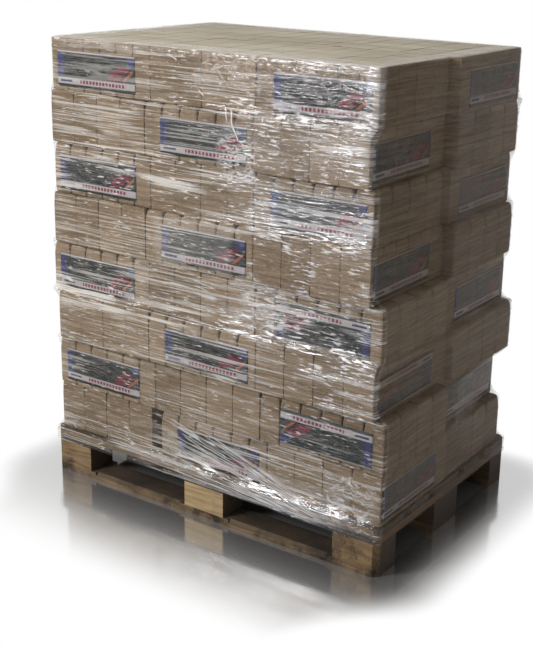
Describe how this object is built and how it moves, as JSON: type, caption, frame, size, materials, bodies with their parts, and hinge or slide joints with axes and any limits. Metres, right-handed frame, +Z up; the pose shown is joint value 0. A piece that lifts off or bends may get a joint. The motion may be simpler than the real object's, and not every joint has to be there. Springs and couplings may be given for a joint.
{
  "type": "shrink wrapped pallet load",
  "caption": "Flat wooden pallet carrying chequered layers of bundled wood briquettes with paper labels, held together by clear stretch film.",
  "frame": {"origin": "centre of the pallet's underside, where it stands on the floor", "axes": "+Z up; X along the pallet's 1200 mm side; the front of the load faces -Y"},
  "size_m": [1.2036, 0.8051, 1.3778],
  "materials": {
    "pallet_wood": "weathered sawn softwood",
    "block_wood": "sawn wood block",
    "pressed_wood": "pressed sawdust under clear film",
    "printed_label": "printed, slightly glossy",
    "clear_film": "clear, wrinkled and shiny"
  },
  "bodies": {
    "root": {"block_back_left": "block_wood", "block_back_middle": "block_wood", "block_back_right": "block_wood", "block_front_left": "block_wood", "block_front_middle": "block_wood", "block_front_right": "block_wood", "block_middle_left": "block_wood", "block_middle_middle": "block_wood", "block_middle_right": "block_wood", "bottom_board_back": "pallet_wood", "bottom_board_front": "pallet_wood", "bottom_board_middle": "pallet_wood", "cross_board_left": "pallet_wood", "cross_board_middle": "pallet_wood", "cross_board_right": "pallet_wood", "labels_back": "printed_label", "labels_front": "printed_label", "labels_left": "printed_label", "labels_right": "printed_label", "pack_layer_1": "pressed_wood", "pack_layer_2": "pressed_wood", "pack_layer_3": "pressed_wood", "pack_layer_4": "pressed_wood", "pack_layer_5": "pressed_wood", "pack_layer_6": "pressed_wood", "pack_layer_7": "pressed_wood", "pack_layer_8": "pressed_wood", "stretch_film": "clear_film", "top_board_back": "pallet_wood", "top_board_back_inner": "pallet_wood", "top_board_front": "pallet_wood", "top_board_front_inner": "pallet_wood", "top_board_middle": "pallet_wood"}
  },
  "joints": []
}
